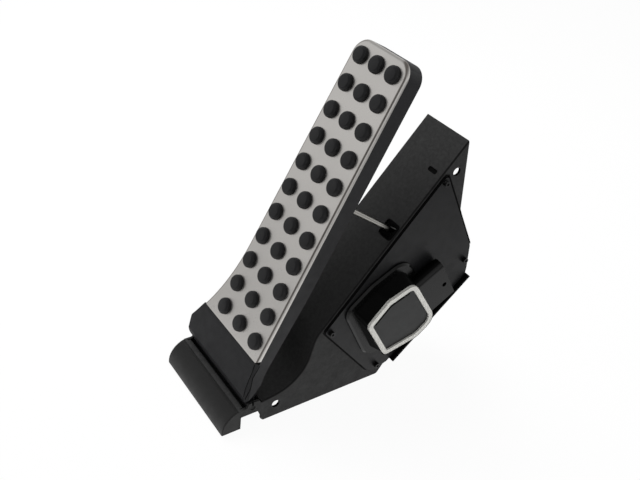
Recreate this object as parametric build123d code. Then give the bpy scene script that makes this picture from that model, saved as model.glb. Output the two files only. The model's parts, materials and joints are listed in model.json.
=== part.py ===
from build123d import *
import os
from math import atan2, cos, degrees, radians, sin, tan

# Floor-mounted accelerator pedal with a studded steel tread, a folded sheet pedal box,
# a heel bar at the hinge, a push rod and a rotary position sensor on the box's side.
# Frame in millimetres: X across the pedal, +Y forward, +Z up, floor at Z = 0,
# origin on the floor under the middle of the heel bar. Side outlines are (Y, Z) pairs.

# Sheet metal and general fits
SHEET = 2.0
FOLD_RADIUS = 1.2
LEFT_FOLD_RADIUS = 1.0
RUNNING_FIT = 0.05
SEAT_FIT = 0.05
SIDE_GAP = 0.4
FLOOR_Z = 0.0

# Heel bar
HEEL_LENGTH = 88.5
HEEL_FRONT = -8.3
HEEL_BACK = 5.0
HEEL_HEIGHT = 17.8
HEEL_EDGE = 1.2
HEEL_CROWN = 2.0
HEEL_BULGE = (-4.5, 12.1)
HEEL_END_ROUND = 1.0
HEEL_SCREW_SPACING = 56.0
HEEL_SCREW_Z = 5.0
HEEL_SCREW_R = 2.0
HEEL_SCREW_HEAD_R = 3.6
HEEL_SCREW_HEAD = 1.6
HEEL_SCREW_LENGTH = 10.0

# Hinge between heel bar and box
HINGE_Y = 16.5
HINGE_Z = 16.7
PIN_R = 2.0
PIN_RECESS = 0.4
BARREL_R = 4.2
BUSH_R = 3.1
BUSH_LENGTH = 12.0

# Pedal box, side outline
BOX_WIDTH = 46.25
ARM_LOW_Z = 11.4
EAR_TOP_Z = 21.8
EAR_FRONT_Y = 12.4
EAR_BACK_Y = 21.6
EAR_CORNER = 1.5
ARM_ROOT = 9.0
RELIEF = 1.6
UPSTAND_TOP_Z = 18.2
STRIP_FLANGE = 16.0
STRIP_FLANGE_SETBACK = 5.0
NOTCH_TOP = (21.1, ARM_LOW_Z)
NOTCH_FOOT = (26.0, FLOOR_Z)
TONGUE_FRONT = (24.0, 19.4)
TONGUE_BACK = (57.5, 24.1)
SHOULDER = (66.3, 63.3)
PLATE_TOP = (179.5, 200.0)
RISE_RADIUS = 33.0
SHOULDER_RADIUS = 20.0
EAR_FOOT = (186.0, 142.0)
WALL_BACK_HIGH = (205.0, 105.7)
WALL_BACK_LOW = (207.2, 83.2)
TOE_TOP = (207.4, 76.5)
TOE_FOOT = (138.4, 10.7)
BASE_BACK = (131.5, FLOOR_Z)
EAR_FOOT_RADIUS = 2.0
WALL_BACK_RADIUS = 6.0
TOE_CORNER = 1.0
BASE_CORNER = 3.0
FRONT_BAY_BACK_Y = 52.0
BOLT_HIGH = (173.5, 176.5)
BOLT_LOW = (36.2, 11.7)
BOLT_HOLE_R = 3.3

# Toe plate and side cover
TOE_PLATE = 2.0
TOE_OVERHANG = 5.2
TOE_PLATE_START = 4.0
COVER = 2.0
COVER_INSET = 2.4
COVER_LOW_END = (71.3, 67.6)
COVER_HIGH_END = (162.6, 178.2)
COVER_EDGE = [(167.3, 170.2), (203.6, 105.1), (205.8, 83.6), (205.8, 76.4)]
COVER_BASE = [(138.1, 11.8), (124.9, 7.4), (119.0, 10.6)]
COVER_CORNER = 2.5
COVER_SCREWS = [(77.4, 65.6), (127.0, 13.6), (200.2, 92.6), (162.3, 171.2)]
SCREW_R = 1.25
SCREW_HEAD_R = 2.25
SCREW_HEAD = 3.0
SCREW_SOCKET = 2.0
SCREW_SOCKET_DEPTH = 1.4
SCREW_LENGTH = 8.0
RIVET_NUT_R = 2.0
RIVET_NUT_FLANGE_R = 3.0
RIVET_NUT_FLANGE = 0.8
RIVET_NUT_LENGTH = 5.0
SERVICE_HOLE_R = 17.0

# Pedal arm: places along the pad are measured up the pad from the hinge axis,
# heights are measured square to the pad from the hinge axis
PEDAL_ANGLE = 63.0
FACE_HEIGHT = 11.9
PEDAL_THICKNESS = 15.4
PAD_TOP = 265.6
PAD_LEFT_TOP = -26.2
PAD_LEFT_LOW = -28.0
PAD_RIGHT_TOP = 31.6
PAD_RIGHT_LOW = 38.2
PAD_RIGHT_LOW_AT = 26.0
PAD_RIGHT_SWEEP = 50.0
PAD_CORNER = 12.0
FLARE_AT = 55.0
FLARE_LOW = 16.0
FLARE_PAST_WALL = 5.3
FLARE_STRAIGHT = 4.0
FLARE_CORNER = 4.0
PEDAL_END = 3.1
PEDAL_END_DROP = 3.2
PEDAL_END_PAST_WALL = 1.7
PEDAL_END_CORNER = 2.0
NOSE_BACK = (8.8, 4.7)
RIM_END = (18.0, 0.0)
RIM_TAPER_AT = 90.0
WEB_INSET = 4.0
SKIN = 3.0
RIM = 3.0
RIB = 2.2
RAIL = 9.6

# Steel tread and rubber mat
TREAD = 1.0
TREAD_LIP = 2.6
TREAD_BEND = 2.2
TREAD_LOW = 33.2
TREAD_LOW_CORNER = 5.0
TREAD_CORNER_INSET = 0.3
MAT = 1.5
MAT_INSET = 3.4
STUD_R = 6.2
STUD_HEIGHT = 3.6
STUD_TOP_R = 4.9
STUD_SHOULDER = 2.2
STUD_ROWS = 11
STUD_COLUMNS = 3
STUD_TOP_MARGIN = 11.8
STUD_LOW_MARGIN = 11.9
STUD_CENTRE_TOP = 2.2
STUD_CENTRE_LOW = 3.7
STUD_SPREAD_TOP = 17.7
STUD_SPREAD_LOW = 22.3
STUD_HOLE_GAP = 0.2

# Push rod
ROD_R = 2.0
ROD_TOP_AT = 161.5
ROD_TOP_HEIGHT = 1.5
ROD_BALL_R = 2.8
ROD_BALL_GAP = 0.1
ROD_BALL_INSET = 4.1
ROD_TO_WALL = 5.05
ROD_TO_LEVER = 3.8
HOOK_PAST_LEVER = 2.8
ROD_BEND = 4.0
ROD_KNEE_DEPTH = 8.0
ROD_KNEE_BEND = 30.0
SLOT_WIDTH = 11.6
SLOT_LENGTH = 12.0
SLOT_CORNER = 1.5
SLOT_SHIFT_X = -1.15
SLOT_SHIFT_ALONG = -1.3
ROD_CLIP_R = 4.2
ROD_CLIP = 1.0

# Small slot near the plate's top, closed by a plug
PLUG_FROM_TOP = 31.4
PLUG_FROM_WALL = 10.25
PLUG_WIDTH = 9.0
PLUG_LENGTH = 3.6
PLUG_RECESS = 0.5
PLUG_FLANGE = 1.2
PLUG_FLANGE_MARGIN = 0.6

# Sensor shaft, lever and springs
SHAFT_Y = 129.5
SHAFT_Z = 69.6
SHAFT_R = 4.0
LEVER_LENGTH = 54.46
LEVER_ANGLE = 63.68
LEVER = 3.0
LEVER_HUB_R = 9.0
LEVER_BOSS_R = 7.6
LEVER_HUB_LENGTH = 8.0
LEVER_TIP_R = 6.5
LEVER_SLOT_PLAY = 3.2
LEVER_SLOT_GAP = 0.35
SHAFT_BUSH_R = 6.5
SHAFT_BUSH_FLANGE_R = 9.0
SHAFT_BUSH_FLANGE = 1.5
SPRING_R = 8.0
SPRING_WIRE = 1.6
SPRING_TURNS = 2
SPRING_PITCH = 2.0
SPRING_LEG = 16.0
PEG_R = 2.0
PEG_AT = 16.0
FIXED_PEG_ANGLE = 230.0
STOP_ALONG = 30.0
STOP_PEG_R = 2.5
STOP_SLEEVE_R = 4.5
STOP_GAP = 0.35

# Position sensor on the side cover, drawn about the shaft with its own axes turned by
# SENSOR_TURN: first value towards the connector, second value across it
SENSOR_TURN = 31.4
SENSOR_TOP = [(-24.6, 20.2), (-1.4, 27.2), (22.8, 22.8), (25.2, -27.6), (4.4, -30.6), (-24.8, -20.6)]
SENSOR_TOP_ROUND = [5.5, 9.0, 8.0, 11.0, 14.0, 5.5]
SENSOR_FOOT = [(-25.2, 26.6), (-3.0, 30.4), (24.0, 28.6), (28.0, -29.0), (5.0, -33.0), (-28.6, -24.0)]
SENSOR_FOOT_ROUND = [4.0, 10.0, 8.0, 8.0, 14.0, 8.0]
SENSOR_HEIGHT = 16.0
COLLAR = 2.0
COLLAR_EDGE = 1.5
COLLAR_MARGIN = 6.5
SEAL = 0.8
SEAL_HOLE_R = 18.0
SEAL_INSET = 1.0
RIM_WIDTH = 3.7
RIM_HEIGHT = 2.2
LID_RECESS = 1.4
SHAFT_ENTRY = 8.0
PLUG_SHROUD_END = 50.0
PLUG_SHROUD_LOW = -25.5
PLUG_SHROUD_HIGH = 6.5
PLUG_SHROUD_BASE = 1.0
PLUG_SHROUD_HEIGHT = 10.0
PLUG_SHROUD_WALL = 1.7
PLUG_SOCKET_DEPTH = 18.0
PLUG_RIB_AT = 8.2
LATCH_HOLE_R = 2.0
LATCH_HOLE_FROM_MOUTH = 5.2
TERMINALS = 6
TERMINAL_PITCH = 3.8
TERMINAL_WIDTH = 1.5
TERMINAL_THICKNESS = 0.8
TERMINAL_LENGTH = 8.0
SENSOR_SCREW_R = 1.5
SENSOR_SCREW_HEAD_R = 2.8
SENSOR_SCREW_HEAD = 2.0
SENSOR_SCREW_LENGTH = 9.0
SENSOR_SCREW_AT = 12.6

# Places worked out from the sizes above
WALL = HEEL_LENGTH / 2
WALL_IN = WALL - SHEET
BOX_LEFT = WALL - BOX_WIDTH
BOX_LEFT_IN = BOX_LEFT + SHEET
COVER_FACE = WALL + COVER
UPSTAND_BACK = HEEL_BACK + SHEET
BARREL_HALF = WALL_IN - SIDE_GAP
HINGE = (HINGE_Y, HINGE_Z)
SHAFT = (SHAFT_Y, SHAFT_Z)
RIM_LOW = FACE_HEIGHT - PEDAL_THICKNESS
BODY_TOP = FACE_HEIGHT - TREAD - MAT
END_TOP = FACE_HEIGHT - PEDAL_END_DROP
CAVITY_TOP = BODY_TOP - SKIN
STUD_TOP_ROW = PAD_TOP - STUD_TOP_MARGIN
STUD_LOW_ROW = TREAD_LOW + STUD_LOW_MARGIN
STUD_ROW_PITCH = (STUD_TOP_ROW - STUD_LOW_ROW) / (STUD_ROWS - 1)
ROD_LOW_X = WALL_IN - ROD_TO_WALL
LEVER_FACE = ROD_LOW_X - ROD_TO_LEVER
LEVER_X = LEVER_FACE - LEVER
PLUG_X = WALL - PLUG_FROM_WALL
SPRING_LOW = BOX_LEFT_IN + SHAFT_BUSH_FLANGE
SPRING_HIGH = LEVER_FACE - LEVER_HUB_LENGTH
SPRING_ROOM = (SPRING_HIGH - SPRING_LOW) / 2
PAD_UP = (0, cos(radians(PEDAL_ANGLE)), sin(radians(PEDAL_ANGLE)))
PAD_OUT = (0, -PAD_UP[2], PAD_UP[1])
PAD = Plane(origin=(0, HINGE_Y, HINGE_Z), x_dir=(1, 0, 0), z_dir=PAD_OUT)
PAD_SIDE = Plane(origin=(0, HINGE_Y, HINGE_Z), x_dir=PAD_UP, z_dir=(1, 0, 0))
PLATE_ANGLE = degrees(atan2(PLATE_TOP[1] - SHOULDER[1], PLATE_TOP[0] - SHOULDER[0]))
PLATE_ALONG = Vector(0, cos(radians(PLATE_ANGLE)), sin(radians(PLATE_ANGLE)))
PLATE_OUT = Vector(0, -PLATE_ALONG.Z, PLATE_ALONG.Y)
SENSOR_SIDE = Vector(0, cos(radians(SENSOR_TURN)), sin(radians(SENSOR_TURN)))
HOUSING_BASE = COVER_FACE + SEAL
SENSOR_FACE = COVER_FACE + SENSOR_HEIGHT
RIM_BASE = SENSOR_FACE - RIM_HEIGHT
FAR = 4 * HEEL_LENGTH


def slab(face, x_low, x_high):
    """Side-view face (Y, Z) made into a plate from x_low to x_high."""
    return extrude(Plane.YZ.offset(x_low) * face, amount=x_high - x_low)


def bar(place, radius, x_low, x_high):
    """Round bar along X at side-view place (Y, Z)."""
    return slab(Pos(*place) * Circle(radius), x_low, x_high)


def rounded(points, radii):
    """Closed face through the points with one corner radius each."""
    return make_face(FilletPolyline(*points, radius=radii, close=True))


def polar(centre, radius, angle):
    """Side-view place at a distance and an angle in degrees from a centre."""
    across = radius * cos(radians(angle))
    up = radius * sin(radians(angle))
    return (centre[0] + across, centre[1] + up)


def angle_of(start, end):
    """Angle in degrees of the line from start to end in the side view."""
    return degrees(atan2(end[1] - start[1], end[0] - start[0]))


def on_plate(x, from_top, depth=0.0):
    """Point on the sloped plate, measured down from its top edge and inwards."""
    top = Vector(x, *PLATE_TOP)
    return top - PLATE_ALONG * from_top - PLATE_OUT * depth


def down_plate(place):
    """How far below the plate's top edge a side-view place lies."""
    return (Vector(0, *PLATE_TOP) - Vector(0, *place)).dot(PLATE_ALONG)


def pad_right(along):
    """Place of the pad's straight right edge."""
    share = (along - PAD_RIGHT_LOW_AT) / (PAD_TOP - PAD_RIGHT_LOW_AT)
    return PAD_RIGHT_LOW + (PAD_RIGHT_TOP - PAD_RIGHT_LOW) * share


# Push rod line: ball in the pedal, knee behind the sloped plate, hook in the lever
ROD_BALL_X = pad_right(ROD_TOP_AT) - ROD_BALL_INSET
BALL = PAD.from_local_coords(Vector(ROD_BALL_X, ROD_TOP_AT, ROD_TOP_HEIGHT))
ROD_LOW = polar(SHAFT, LEVER_LENGTH, LEVER_ANGLE)
HOOK_CORNER = Vector(ROD_LOW_X, *ROD_LOW)
ROD_RUN = Vector(0, HOOK_CORNER.Y - BALL.Y, HOOK_CORNER.Z - BALL.Z).normalized()
BALL_TO_PLATE = (on_plate(0, 0) - BALL).dot(PLATE_OUT) / ROD_RUN.dot(PLATE_OUT)
KNEE_SIDE = BALL + ROD_RUN * (BALL_TO_PLATE + ROD_KNEE_DEPTH)
KNEE = Vector(ROD_LOW_X, KNEE_SIDE.Y, KNEE_SIDE.Z)
ROD_IN_PLATE = BALL + (KNEE - BALL) * (BALL_TO_PLATE / (BALL_TO_PLATE + ROD_KNEE_DEPTH))
SLOT_FROM_TOP = down_plate((ROD_IN_PLATE.Y, ROD_IN_PLATE.Z)) - SLOT_SHIFT_ALONG
SLOT_X = ROD_IN_PLATE.X + SLOT_SHIFT_X


def heel_bar():
    front = (HEEL_FRONT, FLOOR_Z)
    edge = (HEEL_FRONT, HEEL_EDGE)
    top = (HEEL_BACK - HEEL_CROWN, HEEL_HEIGHT)
    back = (HEEL_BACK, HEEL_HEIGHT)
    foot = (HEEL_BACK, FLOOR_Z)
    section = [
        Line(front, edge),
        ThreePointArc(edge, HEEL_BULGE, top),
        Line(top, back),
        Line(back, foot),
        Line(foot, front),
    ]
    block = slab(make_face(section), -WALL, WALL)
    curved = block.faces().filter_by(GeomType.CYLINDER)
    ends = [edge for edge in curved.edges() if abs(abs(edge.center().X) - WALL) < SEAT_FIT]
    block = fillet(ends, HEEL_END_ROUND)
    for x in heel_screw_places():
        block -= along_y(x, HEEL_SCREW_Z, HEEL_SCREW_R, heel_screw_tip(), UPSTAND_BACK)
    return block


def heel_screw_places():
    return (-HEEL_SCREW_SPACING / 2, HEEL_SCREW_SPACING / 2)


def heel_screw_tip():
    return UPSTAND_BACK - HEEL_SCREW_LENGTH


def along_y(x, z, radius, y_low, y_high):
    """Round bar along Y."""
    start = Plane(origin=(x, y_low, z), z_dir=(0, 1, 0))
    return extrude(start * Circle(radius), amount=y_high - y_low)


def heel_screws():
    screws = []
    head_end = UPSTAND_BACK + HEEL_SCREW_HEAD
    for x in heel_screw_places():
        shank_r = HEEL_SCREW_R - SEAT_FIT
        screw = along_y(x, HEEL_SCREW_Z, shank_r, heel_screw_tip(), UPSTAND_BACK)
        screw += along_y(x, HEEL_SCREW_Z, HEEL_SCREW_HEAD_R, UPSTAND_BACK, head_end)
        socket = Plane(origin=(x, head_end, HEEL_SCREW_Z), z_dir=(0, 1, 0))
        screw -= extrude(socket * RegularPolygon(HEEL_SCREW_R, 6), amount=-HEEL_SCREW_HEAD / 2)
        screws.append(screw)
    return Compound(screws)


# Pedal box: one folded sheet with the hinge arms
def top_profile(inset):
    """Corners of tongue, rise, shoulder and sloped plate, moved inwards."""
    corners = [TONGUE_FRONT, TONGUE_BACK, SHOULDER, PLATE_TOP]
    angles = [angle_of(a, b) for a, b in zip(corners, corners[1:])]
    moved = [polar(corners[0], inset, angles[0] - 90)]
    for corner, into, out in zip(corners[1:], angles, angles[1:]):
        half = (out - into) / 2
        moved.append(polar(corner, inset / cos(radians(half)), into + half - 90))
    moved.append(polar(corners[-1], inset, angles[-1] - 90))
    return moved


def wall_face():
    """Side wall of the box behind the hinge arm."""
    back = [EAR_FOOT, WALL_BACK_HIGH, WALL_BACK_LOW, TOE_TOP, TOE_FOOT, BASE_BACK]
    front = [NOTCH_FOOT, (TONGUE_FRONT[0], NOTCH_FOOT[1] + SHEET)]
    top_radii = [0, RISE_RADIUS, SHOULDER_RADIUS, 0]
    back_radii = [EAR_FOOT_RADIUS, WALL_BACK_RADIUS, WALL_BACK_RADIUS, TOE_CORNER, BASE_CORNER, BASE_CORNER]
    return rounded(top_profile(0) + back + front, top_radii + back_radii + [0, 0])


def hollow_face():
    """Inside of the box in the side view, open at floor, toe and front."""
    inner = top_profile(SHEET)
    front = polar(inner[0], FAR, angle_of(inner[1], inner[0]))
    top = polar(inner[-1], FAR, PLATE_ANGLE)
    corners = [front, inner[1], inner[2], top, (FAR, -FAR), (-FAR, -FAR)]
    radii = [0, RISE_RADIUS + SHEET, SHOULDER_RADIUS - SHEET, 0, 0, 0]
    return rounded(corners, radii)


def before(y):
    """Everything in the side view in front of place y."""
    return Pos(y - FAR, 0) * Rectangle(2 * FAR, 4 * FAR)


def folded_edges(block, side):
    """Edges of a block's top surface on the side wall at X = side."""
    edges = []
    for face in block.faces():
        normal = face.normal_at(face.center())
        if abs(normal.X) < 0.1 and normal.Y < -0.05 and normal.Z > 0.1:
            edges += [e for e in face.edges() if abs(e.center().X - side) < SEAT_FIT]
    return edges


def arm_face():
    """Hinge arm with its ear, joined to the wall."""
    root = TONGUE_FRONT[0] + ARM_ROOT
    root_top = TONGUE_FRONT[1] + ARM_ROOT * tan(radians(angle_of(TONGUE_FRONT, TONGUE_BACK)))
    corners = [
        (HEEL_BACK, ARM_LOW_Z),
        NOTCH_TOP,
        NOTCH_FOOT,
        (root, FLOOR_Z),
        (root, root_top - FOLD_RADIUS),
        (TONGUE_FRONT[0], TONGUE_FRONT[1] - FOLD_RADIUS),
        (EAR_BACK_Y, EAR_TOP_Z),
        (EAR_FRONT_Y, EAR_TOP_Z),
        (EAR_FRONT_Y, UPSTAND_TOP_Z),
        (HEEL_BACK, UPSTAND_TOP_Z),
    ]
    arm = rounded(corners, [0, 0, 0, 0, 0, 0, EAR_CORNER, EAR_CORNER, EAR_CORNER, 0])
    relief_middle = (HINGE_Z + EAR_TOP_Z) / 2
    arm -= Pos(HINGE_Y, relief_middle) * Rectangle(RELIEF, EAR_TOP_Z - HINGE_Z + SHEET)
    return arm - Pos(*HINGE) * Circle(PIN_R + SEAT_FIT)


def plate_block(x, from_top, width, length, low, high):
    """Rounded block square to the sloped plate between two depths below its face."""
    plane = Plane(on_plate(x, from_top, low), x_dir=(1, 0, 0), z_dir=PLATE_OUT)
    return extrude(plane * RectangleRounded(width, length, SLOT_CORNER), amount=low - high)


def pedal_box():
    wall = wall_face()
    box = slab(wall, BOX_LEFT, WALL)
    box = fillet(folded_edges(box, WALL), FOLD_RADIUS)
    box = fillet(folded_edges(box, BOX_LEFT), LEFT_FOLD_RADIUS)
    bay = slab(wall & before(FRONT_BAY_BACK_Y), -WALL, BOX_LEFT + 2 * FOLD_RADIUS)
    box += fillet(folded_edges(bay, -WALL), FOLD_RADIUS)
    hollow = hollow_face()
    box -= slab(hollow, BOX_LEFT_IN, WALL_IN)
    box -= slab(hollow & before(FRONT_BAY_BACK_Y), -WALL_IN, WALL_IN)
    arm = arm_face()
    box += slab(arm, WALL_IN, WALL)
    box += slab(arm, -WALL, -WALL_IN)
    box += upstand()
    box -= plate_block(SLOT_X, SLOT_FROM_TOP, SLOT_WIDTH, SLOT_LENGTH, -SHEET, 2 * SHEET)
    box -= plate_block(PLUG_X, PLUG_FROM_TOP, PLUG_WIDTH, PLUG_LENGTH, -SHEET, 2 * SHEET)
    for place in (BOLT_HIGH, BOLT_LOW):
        box -= bar(place, BOLT_HOLE_R, WALL_IN - SHEET, WALL + SHEET)
    for place in COVER_SCREWS:
        box -= bar(place, RIVET_NUT_R + SEAT_FIT, WALL_IN - SHEET, WALL + SHEET)
    box -= bar(SHAFT, SERVICE_HOLE_R, WALL_IN - SHEET, WALL + SHEET)
    box -= bar(SHAFT, SHAFT_BUSH_R + SEAT_FIT, BOX_LEFT - SHEET, BOX_LEFT_IN + SHEET)
    return box


def upstand():
    """Cross strip that carries the heel bar, with a rear flange that closes the gap under the hinge."""
    strip = Pos((HEEL_BACK + UPSTAND_BACK) / 2, (FLOOR_Z + UPSTAND_TOP_Z) / 2)
    plate = slab(strip * Rectangle(SHEET, UPSTAND_TOP_Z - FLOOR_Z), -WALL, WALL)
    for x in heel_screw_places():
        plate -= along_y(x, HEEL_SCREW_Z, HEEL_SCREW_R, HEEL_BACK - SHEET, UPSTAND_BACK + SHEET)
    flange_end = UPSTAND_BACK + STRIP_FLANGE
    flange_middle = Pos((HEEL_BACK + flange_end) / 2, ARM_LOW_Z - SHEET / 2)
    flange = flange_middle * Rectangle(flange_end - HEEL_BACK, SHEET)
    return plate + slab(flange, -WALL, WALL_IN - STRIP_FLANGE_SETBACK)


def slot_plug():
    inner_width = PLUG_WIDTH - 2 * SEAT_FIT
    inner_length = PLUG_LENGTH - 2 * SEAT_FIT
    plug = plate_block(PLUG_X, PLUG_FROM_TOP, inner_width, inner_length, PLUG_RECESS, SHEET)
    flange_width = PLUG_WIDTH + 2 * PLUG_FLANGE_MARGIN
    flange_length = PLUG_LENGTH + 2 * PLUG_FLANGE_MARGIN
    inside = SHEET + PLUG_FLANGE
    return plug + plate_block(PLUG_X, PLUG_FROM_TOP, flange_width, flange_length, SHEET, inside)


def toe_plate():
    along = angle_of(TOE_FOOT, TOE_TOP)
    start = polar(TOE_FOOT, TOE_PLATE_START, along)
    corners = [
        start,
        TOE_TOP,
        polar(TOE_TOP, TOE_PLATE, along - 90),
        polar(start, TOE_PLATE, along - 90),
    ]
    strip = make_face(Polyline(*corners, close=True))
    return slab(strip, BOX_LEFT - SHEET, WALL + TOE_OVERHANG)


def side_cover():
    low = on_plate(0, down_plate(COVER_LOW_END), COVER_INSET)
    high = on_plate(0, down_plate(COVER_HIGH_END), COVER_INSET)
    corners = [(low.Y, low.Z), (high.Y, high.Z)] + COVER_EDGE + COVER_BASE
    cover = slab(rounded(corners, COVER_CORNER), WALL, COVER_FACE)
    for place in COVER_SCREWS:
        cover -= bar(place, SCREW_R + SEAT_FIT, WALL - COVER, COVER_FACE + COVER)
    cover -= bar(SHAFT, SHAFT_BUSH_R + SEAT_FIT, WALL - COVER, COVER_FACE + COVER)
    for place in sensor_screw_places():
        cover -= bar(place, SENSOR_SCREW_R + SEAT_FIT, WALL - COVER, COVER_FACE + COVER)
    return cover


def cover_screws():
    screws = []
    top = COVER_FACE + SCREW_HEAD
    for place in COVER_SCREWS:
        screw = bar(place, SCREW_R, COVER_FACE - SCREW_LENGTH, COVER_FACE)
        screw += bar(place, SCREW_HEAD_R, COVER_FACE, top)
        socket = Pos(*place) * RegularPolygon(SCREW_SOCKET / 2, 6, major_radius=False)
        screws.append(screw - slab(socket, top - SCREW_SOCKET_DEPTH, top))
    return Compound(screws)


def rivet_nuts():
    nuts = []
    for place in COVER_SCREWS:
        nut = bar(place, RIVET_NUT_R, WALL - RIVET_NUT_LENGTH, WALL)
        nut += bar(place, RIVET_NUT_FLANGE_R, WALL_IN - RIVET_NUT_FLANGE, WALL_IN)
        nuts.append(nut - bar(place, SCREW_R + SEAT_FIT, WALL - SCREW_LENGTH, WALL))
    return Compound(nuts)


def hinge_pin():
    return bar(HINGE, PIN_R, PIN_RECESS - WALL, WALL - PIN_RECESS)


# Pedal arm with its rubber mat and steel tread, drawn on the pad
def pad_face():
    """Outline of the pedal arm seen square to the pad."""
    corners = [
        (PAD_LEFT_TOP, PAD_TOP),
        (PAD_LEFT_LOW, FLARE_AT),
        (-WALL - FLARE_PAST_WALL, FLARE_LOW),
        (-WALL - PEDAL_END_PAST_WALL, PEDAL_END),
        (WALL - SEAT_FIT, PEDAL_END),
        (PAD_RIGHT_LOW, PAD_RIGHT_LOW_AT),
        (PAD_RIGHT_TOP, PAD_TOP),
    ]
    left_radii = [PAD_CORNER, flare_radius(*corners[:3]), FLARE_CORNER, FLARE_CORNER]
    return rounded(corners, left_radii + [PEDAL_END_CORNER, PAD_RIGHT_SWEEP, PAD_CORNER])


def flare_radius(top, bend, low):
    """Radius of the sweep into the flare, which ends a straight length before its low corner."""
    into = Vector(*bend) - Vector(*top)
    out = Vector(*low) - Vector(*bend)
    return (out.length - FLARE_STRAIGHT) / tan(radians(into.get_angle(out) / 2))


def above(along):
    """Everything on the pad further up than a place."""
    return Pos(0, along + FAR) * Rectangle(4 * FAR, 2 * FAR)


def on_pad(face, low, high):
    """Pad face made into a plate between two heights."""
    return extrude(PAD.offset(low) * face, amount=high - low)


def across_pad(points, half_width):
    """Side outline (up the pad, out of the pad) made as wide as twice half_width."""
    outline = PAD_SIDE.offset(-half_width) * make_face(Polyline(*points, close=True))
    return extrude(outline, amount=2 * half_width)


def pedal_body():
    outline = pad_face()
    side = [
        (PAD_TOP + SKIN, RIM_LOW),
        (PAD_TOP + SKIN, BODY_TOP),
        (TREAD_LOW, BODY_TOP),
        (TREAD_LOW, FACE_HEIGHT),
        (TREAD_LOW - SKIN, FACE_HEIGHT),
        (PEDAL_END + SKIN, END_TOP + SKIN / 2),
        (PEDAL_END, END_TOP),
        NOSE_BACK,
        RIM_END,
        (RIM_TAPER_AT, RIM_LOW),
    ]
    body = on_pad(outline, RIM_LOW, FACE_HEIGHT) & across_pad(side, WALL + 2 * FLARE_PAST_WALL)
    body -= lip_run_out()
    step = outline - offset(outline, -TREAD - 3 * SEAT_FIT)
    body -= on_pad(step & above(TREAD_LOW), FACE_HEIGHT - TREAD_LIP, FACE_HEIGHT)
    body -= on_pad(cavities(outline), RIM_LOW - SKIN, CAVITY_TOP)
    web = [
        (PEDAL_END, END_TOP),
        (-0.81 * BARREL_R, 0.57 * BARREL_R),
        (0.24 * BARREL_R, -0.96 * BARREL_R),
        RIM_END,
        (RIM_END[0], CAVITY_TOP),
    ]
    body += across_pad(web, BARREL_HALF - WEB_INSET)
    body += bar(HINGE, BARREL_R, -BARREL_HALF, BARREL_HALF)
    body -= bar(HINGE, PIN_R + 4 * SEAT_FIT, -WALL, WALL)
    for low in (-BARREL_HALF, BARREL_HALF - BUSH_LENGTH):
        body -= bar(HINGE, BUSH_R + SEAT_FIT, low, low + BUSH_LENGTH)
    body -= Pos(BALL) * Sphere(ROD_BALL_R + ROD_BALL_GAP)
    mouth = PAD.offset(ROD_TOP_HEIGHT) * Pos(ROD_BALL_X, ROD_TOP_AT)
    return body - mouth * Rot(180, 0, 0) * ball_mouth()


def lip_run_out():
    """Wedge off the pad's right edge, where the tread's lip runs out to the hinge corner."""
    edge = pad_right(TREAD_LOW)
    inner = PAD.from_local_coords(Vector(edge - TREAD_BEND, TREAD_LOW, FACE_HEIGHT))
    outer = PAD.from_local_coords(Vector(edge, TREAD_LOW, FACE_HEIGHT - TREAD_LIP))
    end = PAD.from_local_coords(Vector(WALL - PEDAL_END_CORNER, PEDAL_END, END_TOP))
    slope = Plane(origin=inner, z_dir=(end - inner).cross(outer - inner))
    outside = extrude(slope * Rectangle(FAR, FAR), amount=FAR)
    lower = Pos(FAR / 2, TREAD_LOW - FAR / 2) * Rectangle(FAR, FAR)
    return outside & on_pad(lower, RIM_LOW, FACE_HEIGHT + SKIN)


def ball_mouth():
    """Cone by which the rod leaves its ball socket."""
    depth = ROD_TOP_HEIGHT - RIM_LOW + SKIN
    narrow = ROD_BALL_R - 3 * ROD_BALL_GAP
    return Cone(narrow, narrow + depth / 5, depth, align=(Align.CENTER, Align.CENTER, Align.MIN))


def cavities(outline):
    """Pockets of the hollow underside between rim, rail and ribs."""
    rail = [
        (PAD_RIGHT_TOP - RAIL, PAD_TOP),
        (PAD_RIGHT_TOP + FAR, PAD_TOP),
        (PAD_RIGHT_LOW + FAR, 0),
        (PAD_RIGHT_LOW - RAIL, 0),
    ]
    pockets = offset(outline, -RIM) & above(RIM_END[0] + SKIN)
    pockets -= make_face(Polyline(*rail, close=True))
    pockets -= Pos(STUD_CENTRE_TOP, 0) * Rectangle(RIB, FAR * 2)
    for row in range(STUD_ROWS):
        pockets -= Pos(0, STUD_TOP_ROW - row * STUD_ROW_PITCH) * Rectangle(FAR, RIB)
    return pockets


def stud_places():
    """Rows of studs that spread towards the heel."""
    places = []
    for row in range(STUD_ROWS):
        along = STUD_TOP_ROW - row * STUD_ROW_PITCH
        share = row / (STUD_ROWS - 1)
        spread = STUD_SPREAD_TOP + (STUD_SPREAD_LOW - STUD_SPREAD_TOP) * share
        centre = STUD_CENTRE_TOP + (STUD_CENTRE_LOW - STUD_CENTRE_TOP) * share
        for column in range(STUD_COLUMNS):
            x = centre + (column - (STUD_COLUMNS - 1) / 2) * spread
            places.append((x, along))
    return places


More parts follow.
